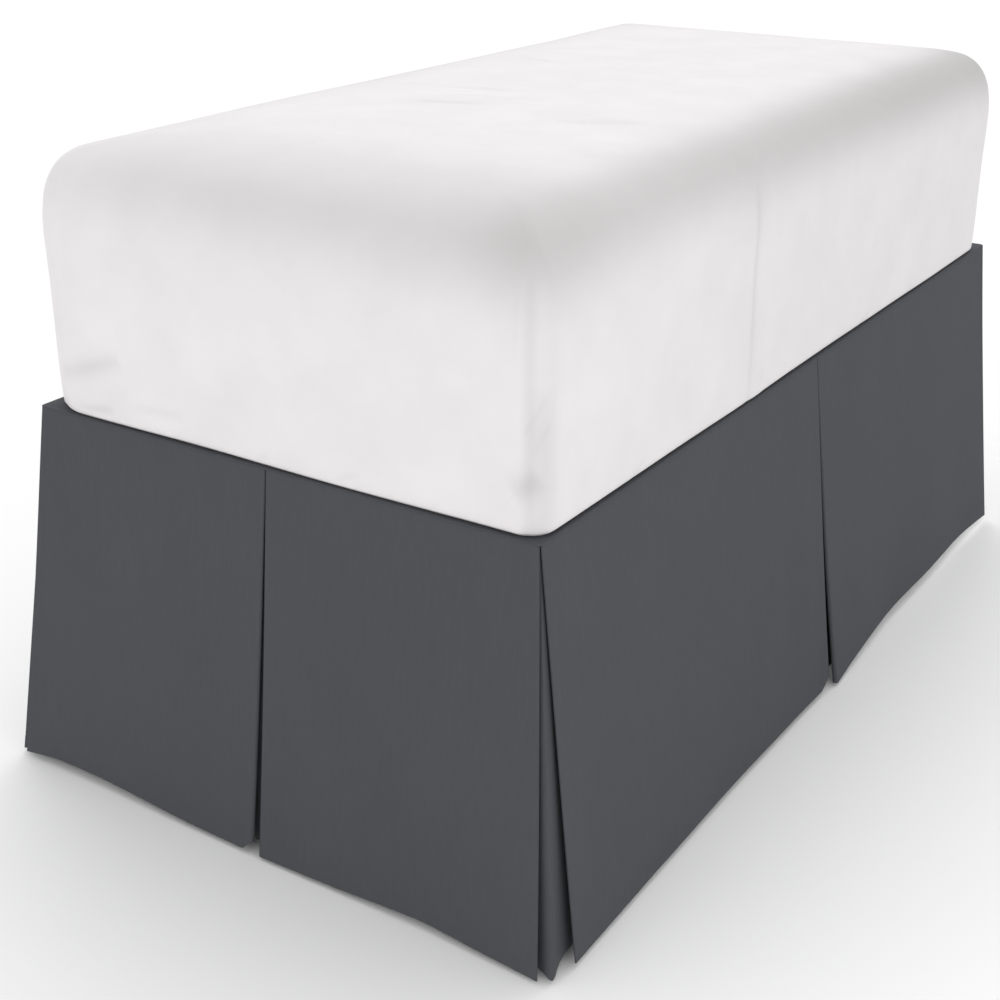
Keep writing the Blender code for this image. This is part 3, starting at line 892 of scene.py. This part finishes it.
def make_mattress(cloth):
    """The mattress in its fitted sheet, with the sheet's creases, seams and soft unevenness, and
    painted shade.
    """
    half_x = (MATTRESS_HIGH.x - MATTRESS_LOW.x) / 2
    half_y = (MATTRESS_HIGH.y - MATTRESS_LOW.y) / 2
    path = smooth_path(MATTRESS_ROWS, MATTRESS_PITCH)
    profile = [row for k, row in enumerate(path) if row[1] < MATTRESS_TOP_START or k % 2 == 0]
    head_right, head_left, foot_left, foot_right = MATTRESS_CORNERS
    right_length = 2 * half_y - foot_right - head_right
    left_length = 2 * half_y - head_left - foot_left
    left_seam = (2 * half_y - SEAM_FROM_FOOT - head_left) / left_length
    right_seam = (SEAM_FROM_FOOT - foot_right) / right_length
    side_shares = (
        even_shares(MATTRESS_END_STEPS),
        shares_with_seam(MATTRESS_SIDE_STEPS, left_seam, left_length),
        even_shares(MATTRESS_END_STEPS),
        shares_with_seam(MATTRESS_SIDE_STEPS, right_seam, right_length),
    )
    outline = (half_x, half_y, MATTRESS_CORNERS)
    mesh = stacked_mesh(profile, *outline, MATTRESS_LOW.z, MATTRESS_CORNER_STEPS, side_shares)
    piece = make_piece("mattress_in_sheet", *mesh, cloth, smooth_angle=80)

    count = len(piece.data.vertices)
    points = np.empty(3 * count)
    normals = np.empty(3 * count)
    piece.data.vertices.foreach_get("co", points)
    piece.data.vertex_normals.foreach_get("vector", normals)
    points = points.reshape(-1, 3)
    foot_middle = np.array((0.0, BED_MIDDLE_Y - half_y, MATTRESS_LOW.z))
    places = points - foot_middle
    height = np.array([SOFTNESS * noise.noise(SOFTNESS_RATE * Vector(place)) for place in places])
    # Painted shade: grey along the rounded top edges, and more in the creases added below
    shade = painted_edge_shade(places, half_x, half_y)
    creases = NEAR_CORNER_CREASES + FOOT_CREASES + TOP_CREASES + WALL_CREASES
    for crease in creases + seam_creases(1) + seam_creases(-1):
        strength = crease_strength(places, crease)
        height += crease.height * strength
        shade += crease.shade * strength
    points += height[:, None] * normals.reshape(-1, 3)
    piece.data.vertices.foreach_set("co", points.ravel())
    attribute = piece.data.attributes.new("shade", "FLOAT", "POINT")
    attribute.data.foreach_set("value", np.clip(shade, 0.0, 1.0))
    piece.data.update()
    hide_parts("mattress")


def make_box_spring(cloth):
    """The box spring, with a piped edge above and below its border."""
    half_x = (BASE_HIGH.x - BASE_LOW.x) / 2
    half_y = (BASE_HIGH.y - BASE_LOW.y) / 2
    height = BASE_HIGH.z - BASE_LOW.z
    half_bead = [math.radians(-90 + 30 * step) for step in range(7)]

    lower = [(0.0, 0.02), (0.0, 0.009)]
    for a in half_bead:
        distance = PIPING + 0.0004 + PIPING * math.sin(a)
        lower.append((distance, PIPING + PIPING_INSET - PIPING * math.cos(a)))
    lower += [(2 * PIPING + 0.0025, 0.0060), *BORDER_ROWS]
    upper = [(height - distance, inset) for distance, inset in reversed(lower)]
    profile = [*lower, (height / 2, BORDER_MIDDLE_INSET), *upper]
    radii = (BASE_CORNER,) * 4
    mesh = stacked_mesh(profile, half_x, half_y, radii, BASE_LOW.z, 8, plain_shares(24, 48))
    piece = make_piece("box_spring_base", *mesh, cloth, smooth_angle=60)
    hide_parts("box_spring")


def dress_frame(enamel, plastic):
    """Gives the bed frame's own nodes their finishes."""
    for name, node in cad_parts.items():
        if name.startswith("leg_cap"):
            finish = plastic
        elif "rail" in name or name.startswith(("slat", "leg")):
            finish = enamel
        else:
            continue
        for slot in node.material_slots:
            slot.material = finish


def make_bolts(enamel):
    """Hexagon bolt heads where each leg meets its side rail, on their inner faces."""
    points = []
    faces = []
    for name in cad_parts:
        if not name.startswith("leg_") or name.startswith("leg_cap"):
            continue
        low, high = (Vector(corner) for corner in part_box(name))
        side = 1 if low.x > 0 else -1
        inner = low.x if side > 0 else high.x
        for below_top in BOLT_DROPS:
            inner_ring = [len(points) + k for k in range(6)]
            outer_ring = [len(points) + 6 + k for k in range(6)]
            for reach in (FIT, BOLT_HEAD):
                for corner in range(6):
                    a = math.radians(60 * corner)
                    y = (low.y + high.y) / 2 + BOLT_RADIUS * math.cos(a)
                    z = high.z - below_top + BOLT_RADIUS * math.sin(a)
                    points.append((inner - side * reach, y, z))
            faces += [inner_ring, outer_ring]
            for k in range(6):
                after = (k + 1) % 6
                faces.append((inner_ring[k], inner_ring[after], outer_ring[after], outer_ring[k]))
    piece = make_piece("frame_bolts", points, faces, enamel, smooth_angle=30)


def make_stage():
    """A pale floor that runs far out, and a plain white surround."""
    nodes = Nodes("studio_floor")
    grain = nodes.noise((3, 3, 3), detail=2.0)
    nodes.shader.inputs["Specular IOR Level"].default_value = 0.0
    material = nodes.finish(nodes.blend(grain, (0.89, 0.89, 0.89, 1), (0.90, 0.90, 0.90, 1)), 0.95)
    signs = ((-1, -1), (1, -1), (1, 1), (-1, 1))
    corners = [(x * FLOOR_REACH, y * FLOOR_REACH, 0) for x, y in signs]
    mesh = bpy.data.meshes.new("floor")
    mesh.from_pydata(corners, [], [(0, 1, 2, 3)])
    mesh.materials.append(material)
    floor = bpy.data.objects.new("floor", mesh)
    bpy.context.scene.collection.objects.link(floor)

    world = bpy.data.worlds.new("studio")
    world.use_nodes = True
    background = world.node_tree.nodes["Background"]
    background.inputs["Color"].default_value = (1.0, 1.0, 1.0, 1)
    background.inputs["Strength"].default_value = SKY_STRENGTH
    bpy.context.scene.world = world
    bpy.context.scene.view_settings.view_transform = "Standard"


def make_lights():
    """The lamps, each aimed at its target."""
    for lamp in LAMPS:
        data = bpy.data.lights.new(lamp.name, lamp.kind)
        data.energy = lamp.strength
        if lamp.kind == "AREA":
            data.shape = "DISK"
            data.size = lamp.spread
        else:
            data.angle = math.radians(lamp.spread)
        light = bpy.data.objects.new(lamp.name, data)
        light.location = lamp.place
        aim = Vector(lamp.target) - Vector(lamp.place)
        light.rotation_euler = aim.to_track_quat("-Z", "Y").to_euler()
        bpy.context.scene.collection.objects.link(light)


def make_camera():
    data = bpy.data.cameras.new("camera")
    data.lens = CAMERA_LENS
    data.sensor_width = SENSOR_WIDTH
    camera = bpy.data.objects.new("camera", data)
    camera.location = CAMERA_PLACE
    camera.rotation_euler = (math.radians(90 - CAMERA_ELEVATION), 0, math.radians(CAMERA_AZIMUTH))
    bpy.context.scene.collection.objects.link(camera)
    bpy.context.scene.camera = camera


def main():
    make_camera()
    make_stage()
    make_lights()

    charcoal = skirt_cloth()
    enamel = frame_enamel()
    make_deck(charcoal)
    make_drops(charcoal)
    make_corner_insert("corner_insert_right", 1, charcoal)
    make_corner_insert("corner_insert_left", -1, charcoal)
    make_mattress(fitted_sheet())
    make_box_spring(box_spring_cover())
    dress_frame(enamel, foot_plastic())
    make_bolts(enamel)


main()
